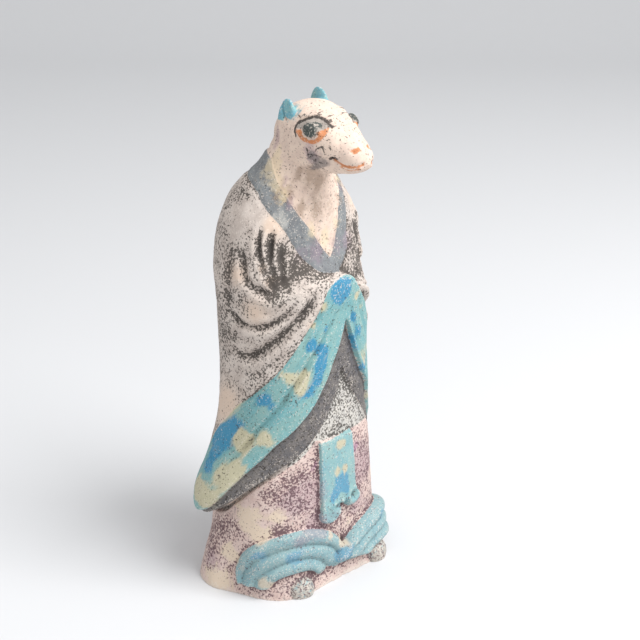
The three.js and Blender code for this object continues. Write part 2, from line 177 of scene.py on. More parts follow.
# The two scrolls: each rib lies between two edges, given by degrees round the arch from its outer foot and mm
# from the middle of the arch
scroll = {"angle": 42, "height": 4, "foot": 7.5, "rise": 3.4, "farRise": 7, "farHeight": 0.72,
          "edges": [[(0, 15.7), (40, 13), (90, 12), (150, 14), (180, 15)],
                    [(0, 24.4), (40, 21.5), (90, 20.5), (150, 22), (180, 25)],
                    [(0, 32), (35, 30.5), (90, 28.8), (125, 30), (150, 34), (180, 38)],
                    [(0, 34.5), (15, 37), (35, 38.4), (90, 38.5), (125, 39), (150, 42), (180, 46)]]}
# Bosses under the arches: degrees round, distance out, half width, half depth, half height, height of the middle
bosses = [(-40.4, 43.5, 9, 6.5, 8.5, 3.5), (41, 48.5, 9, 8, 8.5, 3.5)]


def lineDistance(u, v, line):
    # least distance in a plane to a smooth line through points, and how far along it, from 0 to 1
    knots = [(i, *point) for i, point in enumerate(line)]
    steps = np.linspace(0, len(line) - 1, 25)
    lineU, lineV = curve(steps, knots, 1), curve(steps, knots, 2)
    best, along = np.full(np.shape(u), 1e9), np.zeros(np.shape(u))
    for i in range(24):
        runU, runV = lineU[i + 1] - lineU[i], lineV[i + 1] - lineV[i]
        s = np.clip(((u - lineU[i]) * runU + (v - lineV[i]) * runV) / (runU ** 2 + runV ** 2), 0, 1)
        distance = np.hypot(u - lineU[i] - s * runU, v - lineV[i] - s * runV)
        along = np.where(distance < best, (i + s) / 24, along)
        best = np.minimum(best, distance)
    return best, along


def foldDepth(degreesOut, z, lines):
    # each fold is a groove of bell section with a low swell on both sides, fading out at its ends
    depth = np.zeros(np.shape(z))
    for deep, width, line in lines:
        flat = [(point[0] * degrees * layers["girth"], point[1]) for point in line]
        distance, along = lineDistance(degreesOut * degrees * layers["girth"], z, flat)
        taper = np.sqrt(smooth(0, 0.3, along) * smooth(0, 0.25, 1 - along))
        depth = depth + deep * taper * (bump(distance, width) - 0.3 * bump(distance - 2.1 * width, width))
    return depth


def guides(angle):
    # heights of hem, lining, cuff, top of cuff and forearm, each kept above the one before
    turned = angle / degrees
    lining = curve(turned, guideLines["lining"])
    cuff = np.maximum(curve(turned, guideLines["cuff"]), lining + 2)
    cuffTop = np.maximum(curve(turned, guideLines["cuffTop"]), cuff + 2)
    hem = np.minimum(93 - 0.05 * turned - 2.5 * smooth(40, 60, np.abs(turned)), lining - 2.5)
    return hem, lining, cuff, cuffTop, np.maximum(curve(turned, guideLines["shelf"]), cuffTop + 2)


def sashDistance(angle, z):
    # signed distance outside the panel with its two curls, and distance from the nearer curl's hollow
    aside = angle * sash["span"]
    right = sash["right"] + sash["flare"] * (sash["top"] - z)
    panel = np.maximum(np.maximum(aside - right, sash["left"] - aside), np.maximum(sash["low"] - z, z - sash["top"] - 6))
    outside, hollow = panel, np.full(np.shape(panel), 1e9)
    for curlAside, curlHeight, curlRadius, hollowAside, hollowHeight in sash["curls"]:
        outside = np.minimum(outside, np.hypot(aside - curlAside, z - curlHeight) - curlRadius)
        hollow = np.minimum(hollow, np.hypot(aside - hollowAside, z - hollowHeight))
    return outside, hollow


def sashRise(angle, z):
    # a flat panel with rounded edges, and at its foot two curls, each a ring rolled round a hollow
    outside, hollow = sashDistance(angle, z)
    rise = sash["rise"] * smooth(0.9, -1.3, outside) * smooth(sash["top"] + 4, sash["top"] - 1, z)
    rise = rise + 0.7 * bump(outside + 2.2, 1.4) * smooth(62, 54, z)
    rise = rise - 0.8 * bump(angle * sash["span"] - 2.6, 1.0) * smooth(57, 51, z)
    return rise + 0.8 * bump(hollow - sash["hollow"] - 1.6, 1.3) - 1.7 * bump(hollow, sash["hollow"])


def skirtRadius(angle, z):
    # the skirt's oval, drawn in or let out to the foot's own outline towards the ground
    dress = oval(angle, z, layers["skirt"], 2.6, 2.6)
    start = oval(angle, 0 * z, layers["skirt"], 2.6, 2.6)
    return dress + (curve(angle / degrees, ground) - start) * smooth(34, 2, z)


def collarRise(angle, z):
    # a band standing above the robe between its two edges, with a fine groove along each
    turned = angle / degrees
    inner, outer = curve(turned, guideLines["collarInner"]), curve(turned, guideLines["collarOuter"])
    return 1.3 * smooth(inner + 0.5, inner - 0.5, z) - 0.9 * bump(z - outer, 1.0) - 0.4 * bump(z - inner - 0.8, 0.8)


def backFoldDepth(angle, z):
    # shallow upright folds across the back
    around = np.where(angle < 0, angle + 2 * np.pi, angle)
    depth = np.zeros(np.shape(z))
    for i in range(folds["back"]["count"]):
        centre = np.pi + (i - (folds["back"]["count"] - 1) / 2) * folds["back"]["spread"]
        depth = depth + folds["back"]["depth"] * bump((around - centre) * 36, folds["back"]["width"])
    return depth * smooth(folds["back"]["top"], folds["back"]["top"] - 60, z) * smooth(40, 60, np.abs(z - 20))


def bodyRadius(angle, z):
    # distance of the surface from the upright axis: each layer of cloth takes over at its guide line
    hem, lining, cuff, cuffTop, shelf = guides(angle)
    turned = angle / degrees
    out = np.abs(turned)
    tunic = oval(angle, z, layers["tunic"], 2.3, 2.3)
    sleeve = oval(angle, z, layers["sleeve"], 2.4, 2.4)
    chest = oval(angle, z, layers["chest"], mix(2.35, 1.65, smooth(205, 236, z)), 2.3) + collarRise(angle, z)
    robe = mix(sleeve, chest, smooth(shelf - 8, shelf + 2.5, z)) - foldDepth(out, z, folds["robe"])
    radius = skirtRadius(angle, z) + sashRise(angle, z) - foldDepth(turned, z, folds["foot"])
    radius = mix(radius, tunic, smooth(hem - 0.5, hem + 0.5, z))
    radius = mix(radius, sleeve - layers["liningDepth"], smooth(lining - 0.5, lining + 0.5, z))
    radius = mix(radius, sleeve - foldDepth(turned, z, folds["cuff"]), smooth(cuff - 0.5, cuff + 0.6, z))
    radius = mix(radius, robe - backFoldDepth(angle, z), smooth(cuffTop - 0.5, cuffTop + 1.2, z))
    return radius - 1.3 * bump(z - cuffTop + 0.3, 1.0) * smooth(97, 75, out) * smooth(12, 20, out)


def axisY(z):
    # the axis of the rings leans back towards the neck
    return curve(z, [(205, 0), (228, -1.5), (238, -3.5), (248, -7), (256, -8)])


def place(angle, z, radius):
    # a point from its angle round the axis, its height and its distance out
    return np.stack([radius * np.sin(angle), axisY(z) - radius * np.cos(angle), z + 0 * angle], -1)


def bodyGrid(columns=640, counts=(150, 50, 34, 110, 110, 150)):
    # rows follow the guide lines, with three rows inside each step between two layers
    angle = np.linspace(-np.pi, np.pi, columns, endpoint=False)
    levels = [0 * angle, *guides(angle), layers["crown"] + 0 * angle]
    rows = []
    for band, count in enumerate(counts):
        low = levels[band] + (0.7 if band else 0)
        high = levels[band + 1] - (0.7 if band < len(counts) - 1 else 0)
        rows += [mix(low, high, k) for k in np.linspace(0, 1, count)]
        if band < len(counts) - 1:
            rows += [levels[band + 1] + step for step in (-0.35, 0, 0.35)]
    z = np.array(rows)
    angle = angle + 0 * z
    return place(angle, z, bodyRadius(angle, z))


def ribGrid(side, inner, outer, rise, tall=1, spread=1.04):
    # a flattened tube lying on the skirt, carried round the arch between two edges
    turn = np.linspace(0, np.pi, 110)[:, None]
    roundTube = np.linspace(0, 2 * np.pi, 40, endpoint=False)[None, :]
    low, high = curve(turn / degrees, inner), curve(turn / degrees, outer)
    arc = (low + high) / 2 + (high - low) / 2 * spread * np.cos(roundTube)
    z = mix(scroll["foot"], scroll["height"] + tall * arc, np.sin(turn))
    angle = side * (scroll["angle"] * degrees + arc * np.cos(turn) / 50)
    ending = np.where(np.cos(turn) > 0, 1, smooth(0, 0.4, np.sin(turn)))
    proud = np.where(np.sin(roundTube) > 0, rise * 1.08 * ending, rise * 0.6)
    radius = skirtRadius(angle, z) + proud * np.sin(roundTube)
    return np.stack([radius * np.sin(angle), -radius * np.cos(angle), z], -1)


def bossGrid(turned, out, wide, deep, tall, middle):
    # a dome standing on the ground, its widest ring at the height of its middle
    rise = np.linspace(-np.arcsin(middle / tall), np.pi / 2, 42)[:-1, None]
    turn = np.linspace(0, 2 * np.pi, 60, endpoint=False)[None, :]
    across, away = wide * np.cos(rise) * np.cos(turn), out + deep * np.cos(rise) * np.sin(turn)
    side, front = np.sin(turned * degrees), np.cos(turned * degrees)
    return np.stack([away * side + across * front, across * side - away * front, middle + tall * np.sin(rise) + 0 * turn], -1)


# The head, a loft along the snout: y, top, bottom, half width, height of the widest line
head = {
    "rows": [(-56.6, 254.4, 251, 1.6, 252.8), (-55.4, 257, 248.9, 4.8, 252.8), (-53.2, 259.4, 246.8, 7.1, 253.4),
             (-49.8, 262, 245.3, 8.9, 254.4), (-45, 265.4, 244.2, 10.5, 256.2), (-40, 269.8, 243.4, 12.5, 258.8),
             (-34, 274.2, 242.6, 14.6, 260.6), (-28, 277, 241.3, 16, 261.3), (-20, 278.8, 239, 16.5, 261.3),
             (-12, 278, 237, 16, 260.8), (-5, 274.8, 239, 14.2, 260), (0, 270.4, 243, 11.2, 259.5),
             (3.5, 265.4, 250, 7, 259.5), (5, 262, 256, 2.6, 259.5)],
    "front": -56.6, "back": 5,
}
eye = {"aside": 13, "front": -30.2, "height": 266.2, "wide": 6.4, "tall": 5.2, "deep": 4}
# Ears: side, foot, tip, distance aside, half thickness, half width
ears = [(-1, 262, 280, 13.6, 3.0, 7.2), (1, 266, 283, 11.4, 2.8, 7.8)]
ear = {"lean": 1.2, "front": -12.3}


def headGrid(steps=200, sides=200):
    # an oval section carried from nape to snout, squared a little at its sides
    k = np.linspace(0, 1, steps)[:, None]
    y = mix(head["front"], head["back"], mix(k, (1 - np.cos(np.pi * k)) / 2, 0.7))
    turn = np.linspace(0, 2 * np.pi, sides, endpoint=False)[None, :]
    top, bottom, half, middle = (curve(y, head["rows"], column) for column in (1, 2, 3, 4))
    x = half * np.sign(np.cos(turn)) * np.abs(np.cos(turn)) ** 0.85
    lift = np.abs(np.sin(turn)) ** 0.95
    z = middle + np.where(np.sin(turn) > 0, top - middle, bottom - middle) * lift
    return np.stack([x, y + 0 * turn, z], -1)


def earGrid(side, foot, tip, aside, thick, wide):
    # a leaf standing on the head, its outer face hollowed
    k = np.linspace(0, 0.995, 60)[:, None]
    turn = np.linspace(0, 2 * np.pi, 60, endpoint=False)[None, :]
    size = np.sqrt(1 - k ** 2.2)
    hollow = 1.6 * np.clip(np.cos(turn), 0, 1) ** 4
    x = side * (aside - ear["lean"] * k + size * (thick * np.cos(turn) - hollow))
    y = ear["front"] + wide * size * np.sin(turn) + 0.6 * k
    return np.stack([x, y, mix(foot, tip, k) + 0 * turn], -1)


# Marks on each side of the face, as points of y and z
face = {
    "lidLine": [(-20.9, 263), (-20, 265.2), (-20.9, 268.7), (-23.5, 270.4), (-26.9, 272.1), (-29.8, 272.9),
                (-33.1, 272.2), (-36, 270.5), (-38.7, 268.5)],
    "lidRidge": [(-21.4, 271.3), (-24.7, 272.8), (-28.9, 273.9), (-32.9, 273.4), (-36.6, 271.4), (-39.8, 268.8)],
    "lowerRim": [(-22.2, 265.4), (-23.6, 263.8), (-25.9, 262.3), (-29.5, 261.4), (-32.3, 261.2), (-35.1, 262.6),
                 (-36.7, 265.1), (-37.3, 267.3)],
    "mouth": [(-41.6, 253.6), (-43.1, 252.7), (-44.8, 251.7), (-46.2, 250.9), (-48.4, 250.1), (-51.3, 250),
              (-54.2, 250.7), (-56.1, 252.1)],
    "mouthCorner": [(-40.7, 253.5), (-42.1, 254), (-44.4, 253.6)],
    "lowerLip": [(-45.3, 249.9), (-47.6, 248.6), (-50, 248.3), (-52.5, 248.6), (-54.8, 249.5)],
    "cheekLine": [(-28.1, 254.1), (-32.1, 254.2), (-36.3, 253.8), (-39.3, 253.6), (-41.8, 253.6)],
    "jawLine": [(-31.7, 251), (-35.2, 250.4), (-38.5, 250.8)],
    "ticks": [[(-20, 272.6), (-22.3, 272.1), (-23, 272.8)], [(-23.6, 273.5), (-26.1, 272.9), (-26.7, 274.3)],
              [(-30.1, 274.8), (-31.4, 273.8)], [(-34.3, 272.9), (-35, 273.4)], [(-36.4, 271.7), (-37.4, 271)],
              [(-23.9, 259.6), (-24.1, 258.2)], [(-28.3, 257.4), (-28.7, 255.4)],
              [(-33.2, 257.2), (-34.9, 258.4), (-37.4, 259.4)], [(-37.3, 258.8), (-37.6, 257.2), (-38.4, 255.6)],
              [(-40.2, 260.3), (-41.2, 258.4)]],
    "nostril": (-51.9, 258.3),
    "iris": {"y": -30.8, "z": 267.2, "wide": 4.7, "tall": 3.7},
    "earGroove": [(-8.6, 276.4), (-9.2, 274), (-10.6, 271), (-12, 269.4)],
}


def faceRelief(points):
    # how far the marks of the face stand out, on the flanks of the head only
    x, y, z = points.T
    flank = smooth(2, 4, np.abs(x)) * smooth(-14, -20, y)
    lid, along = lineDistance(y, z, face["lidLine"])
    rise = -0.55 * bump(lid, 0.8) * flank
    ridge, along = lineDistance(y, z, face["lidRidge"])
    rise = rise + 0.7 * bump(ridge, 1.0) * flank * np.sqrt(smooth(0, 0.2, along) * smooth(0, 0.2, 1 - along))
    rim, along = lineDistance(y, z, face["lowerRim"])
    rise = rise + 0.5 * bump(rim, 0.9) * flank
    iris = face["iris"]
    size = np.hypot((y - iris["y"]) / iris["wide"], (z - iris["z"]) / iris["tall"])
    rise = rise + (0.55 * smooth(1.02, 0.9, size) - 0.5 * bump((size - 1.12) * 4, 0.5)) * flank
    mouth, along = lineDistance(y, z, face["mouth"])
    rise = rise - (0.75 + 0.6 * smooth(0.25, 0, along)) * bump(mouth, 0.85) * smooth(1.5, 4, np.abs(x))
    lip, along = lineDistance(y, z, face["lowerLip"])
    rise = rise + 0.35 * bump(lip, 1.2) * smooth(1.5, 4, np.abs(x))
    cheek, along = lineDistance(y, z, face["cheekLine"])
    rise = rise - 0.35 * bump(cheek, 0.8) * flank
    nostril = np.hypot(y - face["nostril"][0], z - face["nostril"][1])
    rise = rise - 1.1 * bump(nostril, 1.25) * smooth(1.5, 3, np.abs(x))
    groove, along = lineDistance(y, z, face["earGroove"])
    return rise - 0.9 * bump(groove, 0.75) * smooth(10, 11, np.abs(x))


def ballGrid(centre, size):
    rise = np.linspace(-np.pi / 2, np.pi / 2, 42)[1:-1, None]
    turn = np.linspace(0, 2 * np.pi, 60, endpoint=False)[None, :]
    ball = np.stack([np.cos(rise) * np.cos(turn), np.cos(rise) * np.sin(turn), np.sin(rise) + 0 * turn], -1)
    return np.array(centre) + np.array(size) * ball


def gridFaces(rows, columns, offset):
    # quads between the rings, with a fan to one point at each end
    a = np.arange(rows - 1)[:, None] * columns + np.arange(columns)[None, :]
    b = np.arange(rows - 1)[:, None] * columns + (np.arange(columns)[None, :] + 1) % columns
    quads = np.stack([a, b, b + columns, a + columns], -1).reshape(-1, 4)
    ring = np.arange(columns)
    after = (ring + 1) % columns
    first, last = rows * columns, rows * columns + 1
    bottom = np.stack([np.full(columns, first), after, ring], -1)
    top = np.stack([np.full(columns, last), (rows - 1) * columns + ring, (rows - 1) * columns + after], -1)
    return quads + offset, np.concatenate([bottom, top]) + offset


def closedVolume(grid):
    # signed volume inside the rings, which tells whether the faces point out
    a, b, c = grid[:-1], np.roll(grid, -1, 1)[:-1], np.roll(grid, -1, 1)[1:]
    return np.sum(a * np.cross(b, c)) + np.sum(a * np.cross(c, grid[1:]))


def joinedMesh(grids, name):
    # all closed surfaces in one mesh, each with its two end points added
    points, quads, fans, offset = [], [], [], 0
    for grid in grids:
        if closedVolume(grid) < 0:
            grid = grid[:, ::-1]
        rows, columns = grid.shape[:2]
        middle = [grid[0].mean(0), grid[-1].mean(0)]
        points.append(np.concatenate([grid.reshape(-1, 3), middle]))
        quad, fan = gridFaces(rows, columns, offset)
        quads.append(quad)
        fans.append(fan)
        offset += rows * columns + 2
    mesh = bpy.data.meshes.new(name)
    mesh.from_pydata(np.concatenate(points) * mm, [], np.concatenate(quads).tolist() + np.concatenate(fans).tolist())
    return mesh


def modified(mesh, kind, **settings):
    # the mesh after one modifier
    worker = bpy.data.objects.new("worker", mesh)
    bpy.context.scene.collection.objects.link(worker)
    modifier = worker.modifiers.new("step", kind)
    for key, value in settings.items():
        setattr(modifier, key, value)
    bpy.context.view_layer.update()
    result = bpy.data.meshes.new_from_object(worker.evaluated_get(bpy.context.evaluated_depsgraph_get()))
    bpy.data.objects.remove(worker)
    return result


def readPoints(mesh):
    points = np.zeros(len(mesh.vertices) * 3)
    mesh.vertices.foreach_get("co", points)
    return points.reshape(-1, 3) / mm


def readEdges(mesh):
    edges = np.zeros(len(mesh.edges) * 2, np.int64)
    mesh.edges.foreach_get("vertices", edges)
    return edges.reshape(-1, 2)


def readNormals(mesh):
    normals = np.zeros(len(mesh.vertices) * 3)
    mesh.vertex_normals.foreach_get("vector", normals)
    return normals.reshape(-1, 3)


def neighbourMean(values, edges):
    # each vertex's mean over the vertices it shares an edge with
    count = len(values)
    ends = np.concatenate([edges[:, 0], edges[:, 1]])
    others = np.concatenate([edges[:, 1], edges[:, 0]])
    total = np.bincount(ends, minlength=count)
    sums = [np.bincount(ends, weights=values[others, axis], minlength=count) for axis in range(values.shape[1])]
    return np.stack(sums, -1) / np.maximum(total, 1)[:, None]


def lumps(points, size, seed):
    # soft random noise from -1 to 1: random values on a lattice of that size, blended smoothly
    lattice = np.random.default_rng(seed).uniform(-1, 1, (32, 32, 32))
    at = points / size
    low = np.floor(at).astype(int)
    k = at - low
    k = k * k * (3 - 2 * k)
    total = 0
    for corner in range(8):
        step = np.array([corner & 1, corner >> 1 & 1, corner >> 2 & 1])
        weight = np.prod(np.where(step, k, 1 - k), axis=-1)
        index = (low + step) % 32
        total = total + weight * lattice[index[:, 0], index[:, 1], index[:, 2]]
    return total


def headOutside(points):
    # roughly how far a point lies outside the head's loft
    x, y, z = points.T
    top, bottom, half, middle = (curve(y, head["rows"], column) for column in (1, 2, 3, 4))
    tall = np.where(z > middle, top - middle, middle - bottom)
    size = np.hypot(x / half, (z - middle) / tall)
    beyond = np.maximum(y - head["back"], head["front"] - y)
    return np.maximum((size - 1) * np.minimum(half, tall), beyond)


def bodyOutside(points):
    x, y, z = points.T
    forward = axisY(z) - y
    return np.hypot(x, forward) - bodyRadius(np.arctan2(x, forward), z)


print("making the clay surfaces")
grids = [bodyGrid(), headGrid()]
for inner, outer in zip(scroll["edges"][:-1], scroll["edges"][1:]):
    grids.append(ribGrid(-1, inner, outer, scroll["rise"]))
    grids.append(ribGrid(1, inner, outer, scroll["farRise"], scroll["farHeight"], 1.3))
for shape in ears:
    grids.append(earGrid(*shape))
for side in (-1, 1):
    grids.append(ballGrid((side * eye["aside"], eye["front"], eye["height"]), (eye["deep"], eye["wide"], eye["tall"])))
for shape in bosses:
    grids.append(bossGrid(*shape))
clay = joinedMesh(grids, "clay")
print("surfaces joined,", len(clay.vertices), "points")
clay = modified(clay, "REMESH", mode="VOXEL", voxel_size=0.6 * mm)
print("remeshed,", len(clay.vertices), "points")

# The clay softens every edge a little, more where the head was joined to the neck
clayFinish = {"smoothing": 3, "neckSmoothing": 14, "lumpHeight": 0.32, "lumpSize": 15, "dentHeight": 0.14,
              "dentSize": 4.2, "pitDepth": 0.12, "pitSize": 1.7, "triangles": 190000}

points = readPoints(clay)
edges = readEdges(clay)
standing = smooth(0.1, 1.2, points[:, 2])[:, None]  # the flat underside stays flat
for step in range(clayFinish["smoothing"]):
    points = mix(points, neighbourMean(points, edges), 0.5 * standing)
seam = bump(np.maximum(np.abs(headOutside(points)), np.abs(bodyOutside(points))), 3.5)
seam = (seam * smooth(232, 238, points[:, 2]) * smooth(266, 260, points[:, 2]))[:, None]
for step in range(clayFinish["neckSmoothing"]):
    points = mix(points, neighbourMean(points, edges), 0.5 * seam)
clay.vertices.foreach_set("co", (points * mm).ravel())
clay.update()
normals = readNormals(clay)
rise = clayFinish["lumpHeight"] * lumps(points, clayFinish["lumpSize"], 3)
rise = rise + clayFinish["dentHeight"] * lumps(points, clayFinish["dentSize"], 5)
rise = rise - clayFinish["pitDepth"] * np.clip(lumps(points, clayFinish["pitSize"], 8) * 2.2 - 0.6, 0, 1)
onHead = smooth(-14, -18, points[:, 1]) * smooth(240, 244, points[:, 2]) + smooth(266, 268, points[:, 2])
rise = rise * mix(1, 0.6, np.clip(onHead, 0, 1)) - clayFinish["lumpHeight"] * 0.5
isFace = points[:, 2] > 236
rise[isFace] += faceRelief(points[isFace])
points = points + normals * rise[:, None] * standing
clay.vertices.foreach_set("co", (points * mm).ravel())
clay.update()
print("clay softened and marked")

# Fewer triangles where the cloth is plain, more on the face
worker = bpy.data.objects.new("worker", clay)
bpy.context.scene.collection.objects.link(worker)
faceGroup = worker.vertex_groups.new(name="plain")
keepShare = clayFinish["triangles"] / (2 * len(clay.polygons))
plain = np.flatnonzero(~isFace)
faceGroup.add(plain.tolist(), 1.0, "REPLACE")
faceGroup.add(np.flatnonzero(isFace).tolist(), 0.25, "REPLACE")
thinning = worker.modifiers.new("fewer triangles", "DECIMATE")
thinning.ratio = keepShare
thinning.vertex_group = "plain"
thinning.vertex_group_factor = 1.0
depsgraph = bpy.context.evaluated_depsgraph_get()
figureMesh = bpy.data.meshes.new_from_object(worker.evaluated_get(depsgraph))
bpy.data.objects.remove(worker)
figureMesh.name = "paintedFigure"
print("thinned to", len(figureMesh.polygons), "faces")

points = readPoints(figureMesh)
edges = readEdges(figureMesh)
x, y, z = points.T
angle = np.arctan2(x, axisY(z) - y)
out = np.abs(angle / degrees)

# Patches of one colour inside a painted area: degrees round from the front, height, size in mm.
# Negative degrees are the side that the camera sees; a weaker copy stands on the other side.
patches = {
    "deepBlue": [(-4, 182, 5), (-2, 176, 4), (5, 180, 4), (-20, 148, 4), (-21, 140, 5), (-23, 131, 4), (-31, 125, 4),
                 (-62, 121, 5), (-91, 102, 9), (-100, 98, 8), (-29, 152, 4), (-103, 74, 5), (-104, 86, 6),
                 (-106, 63, 4), (38, 129, 4), (17, 160, 3), (-2, 65, 5), (-9, 58, 4), (2, 60, 3), (-66, 30, 4),
                 (-45, 27, 5), (-3, 17, 5), (24, 79, 4)],
    "bare": [(-78, 98, 5), (-35, 135, 5), (-39, 129, 4), (-29, 164, 3), (-48, 136, 4), (-62, 99, 5), (-83, 81, 6),
             (-91, 74, 6), (-79, 93, 5), (-95, 60, 6), (-108, 61, 7), (19, 173, 3), (2, 88, 3), (-5, 72, 3),
             (-13, 33, 3), (0, 25, 3), (-62, 12, 4), (-57, 217, 6), (-63, 218, 4), (-97, 116, 9), (-105, 107, 9),
             (-70, 172, 7), (-85, 191, 6), (-76, 50, 8), (-54, 53, 5), (-88, 24, 6), (-66, 40, 6), (-96, 5, 8)],
    # pale: fewer dark grains, partly a painted highlight along the forearm's top edge and the chest's near side
    "paleAndHighlight": [(-92, 225, 9), (-88, 229, 7), (-85, 221, 9), (-97, 216, 8), (-78, 222, 6), (-65, 184, 5), (-45, 178, 4),
             (-57, 173, 4), (-39, 185, 3), (-30, 188, 3), (-77, 158, 5), (-88, 133, 8), (65, 221, 6), (49, 213, 3)],
    "dark": [(-101, 233, 9), (-90, 236, 6), (-80, 215, 4), (-89, 200, 6), (-102, 212, 5), (-53, 184, 6), (-61, 180, 5),
             (-48, 196, 6), (-52, 204, 4), (-93, 187, 5), (-20, 190, 8), (51, 190, 9), (60, 205, 6), (-100, 155, 7),
             (-30, 196, 7), (-35, 75, 5), (-47, 71, 6), (-54, 64, 6), (-62, 66, 5), (-40, 58, 6), (-101, 36, 8),
             (-109, 22, 6), (-104, 9, 5), (-54, 45, 5), (-24, 50, 4)],
    "violet": [(-35, 257, 5), (-30, 252, 4), (-101, 258, 6), (-95, 262, 4), (-40, 36, 4), (-30, 42, 6), (-103, 15, 6),
               (-24, 47, 4), (30, 70, 12), (-60, 238, 4), (-47, 228, 4), (-45, 60, 9), (-28, 60, 7), (-20, 38, 5),
               (-15, 200, 7), (35, 200, 6)],
    # umber: grey-brown painted shade under the jaw and down the neck, and brown patches on the robe
    "umberAndShade": [(-20, 240, 6), (-28, 246, 4), (-5, 238, 6), (-40, 242, 5), (-50, 232, 5), (-12, 222, 7), (-33, 224, 5),
              (-62, 232, 4), (-60, 188, 4), (-66, 196, 3)],
    "cream": [(-95, 246, 6), (-80, 243, 6), (-66, 237, 5), (-55, 231, 4), (-88, 252, 4), (-20, 212, 5), (0, 206, 5)],
    "stain": [(-27, 251, 3), (-22, 250, 3), (-33, 254, 3), (-26, 247, 2.5)],
}


def patchTotal(name):
    # soft round patches added up, from 0 to 1
    total = np.zeros(len(points))
    for across, height, size in patches[name]:
        for side, strength in ((1, 1), (-1, 0.6)):
            gap = (angle / degrees - side * across + 180) % 360 - 180
            total = total + strength * bump(np.hypot(gap * 0.75, z - height), size)
    return np.clip(total, 0, 1)


def aboveLine(heights):
    # distance above a sloping guide line, square to it
    step = 0.01
    slope = (heights(angle + step) - heights(angle - step)) / (2 * step * layers["girth"])
    return (z - heights(angle)) / np.sqrt(1 + slope ** 2)


def strokes(lines, half):
    # how far inside the nearest of some brush strokes
    return half - np.min([lineDistance(y, z, line)[0] for line in lines], axis=0)


def insideLoop(line):
    # signed distance inside a closed line of points in y and z
    count = 160
    knots = [(i, *point) for i, point in enumerate([*line, line[0]])]
    steps = np.linspace(0, len(line), count)
    loopY, loopZ = curve(steps, knots, 1), curve(steps, knots, 2)
    turns, nearest = np.zeros(len(y)), np.full(len(y), 1e9)
    for i in range(count - 1):
        ay, az, by, bz = loopY[i] - y, loopZ[i] - z, loopY[i + 1] - y, loopZ[i + 1] - z
        turns = turns + np.arctan2(ay * bz - az * by, ay * by + az * bz)
        nearest = np.minimum(nearest, np.hypot(ay, az))
    return np.where(np.abs(turns) > np.pi, nearest, -nearest)


hemHeights = lambda a: guides(a)[0]
liningHeights = lambda a: guides(a)[1]
cuffHeights = lambda a: guides(a)[2]
cuffTopHeights = lambda a: guides(a)[3]
aboveHem, aboveLining = aboveLine(hemHeights), aboveLine(liningHeights)
aboveCuff, aboveCuffTop = aboveLine(cuffHeights), aboveLine(cuffTopHeights)
aboveInner = aboveLine(lambda a: curve(a / degrees, guideLines["collarInner"]))
aboveOuter = aboveLine(lambda a: curve(a / degrees, guideLines["collarOuter"]))
proud = np.hypot(x, y) - skirtRadius(angle, z)
bossGap = np.full(len(z), 1e9)
for turned, away, wide, deep, tall, middle in bosses:
    side, front = np.sin(turned * degrees), np.cos(turned * degrees)
    across, outward = x * front + y * side, x * side - y * front - away
    size = np.sqrt((across / wide) ** 2 + (outward / deep) ** 2 + ((z - middle) / tall) ** 2)
    bossGap = np.minimum(bossGap, (size - 1) * deep)
offHead = headOutside(points)
sashOutside, hollowGap = sashDistance(angle, z)

# How far inside each painted area a point lies, in mm: negative is outside
areas = {
    "skirt": -aboveHem,
    "tunic": np.minimum(np.minimum(aboveHem, -aboveLining), (48 - out) * 0.77),
    "lining": np.minimum(np.minimum(aboveLining, -aboveCuff), (112 - out) * 0.77),
    "cuff": np.minimum(np.minimum(aboveCuff, -aboveCuffTop), (122 - out) * 0.77),
    "sash": np.minimum(-sashOutside, sash["top"] - z),
    "scroll": np.minimum(np.minimum(proud - 0.9, 48 - z), np.minimum(98 - out, bossGap)),
    "boss": np.minimum(-bossGap + 0.6, proud),
    "collar": np.minimum(aboveOuter, -aboveInner),
    "skin": aboveInner,
    "ear": np.minimum(offHead - 0.5, z - 268.5) - 3 * smooth(-20.5, -22, y),
    "ink": np.full(len(z), -9.0),
    "rouge": np.full(len(z), -9.0),
    "lid": np.full(len(z), -9.0),
    "iris": np.full(len(z), -9.0),
}
flank = (np.abs(x) > 2.5) & (y < -16) & (z > 242)
x, y, z = points[flank].T
iris = face["iris"]
ink = strokes([face["lidLine"]], 0.75)
ink = np.maximum(ink, strokes(face["ticks"], 0.42))
ink = np.maximum(ink, strokes([face["cheekLine"], face["jawLine"]], 0.3))
ink = np.maximum(ink, strokes([face["mouthCorner"]], 0.8))
areas["ink"][flank] = ink
rouge = strokes([face["lowerRim"]], 1.1)
rouge = np.maximum(rouge, 1.7 - np.hypot(y + 23.6, z - 264.8))
rouge = np.maximum(rouge, 1.7 - np.hypot(y + 36.4, z - 265.8))
rouge = np.maximum(rouge, strokes([face["mouth"]], 0.75))
rouge = np.maximum(rouge, strokes([face["lowerLip"]], 0.35))
rouge = np.maximum(rouge, 1.6 - np.hypot(y - face["nostril"][0], z - face["nostril"][1]))
areas["rouge"][flank] = rouge
almond = insideLoop(face["lidLine"] + face["lowerRim"][::-1])
areas["lid"][flank] = np.minimum(almond, z - 266.6)
areas["iris"][flank] = (1 - np.hypot((y - iris["y"]) / iris["wide"], (z - iris["z"]) / iris["tall"])) * iris["tall"]
x, y, z = points.T

# Hollows hold dirt and take painted shade, and ridges are rubbed: the surface compared with its softened self
normals = readNormals(figureMesh)
soft = points.copy()
for step in range(12):
    soft = mix(soft, neighbourMean(soft, edges), 0.6)
hollow = np.sum((soft - points) * normals, axis=1)
wide = soft.copy()
for step in range(40):
    wide = mix(wide, neighbourMean(wide, edges), 0.6)
wideHollow = np.sum((wide - points) * normals, axis=1)

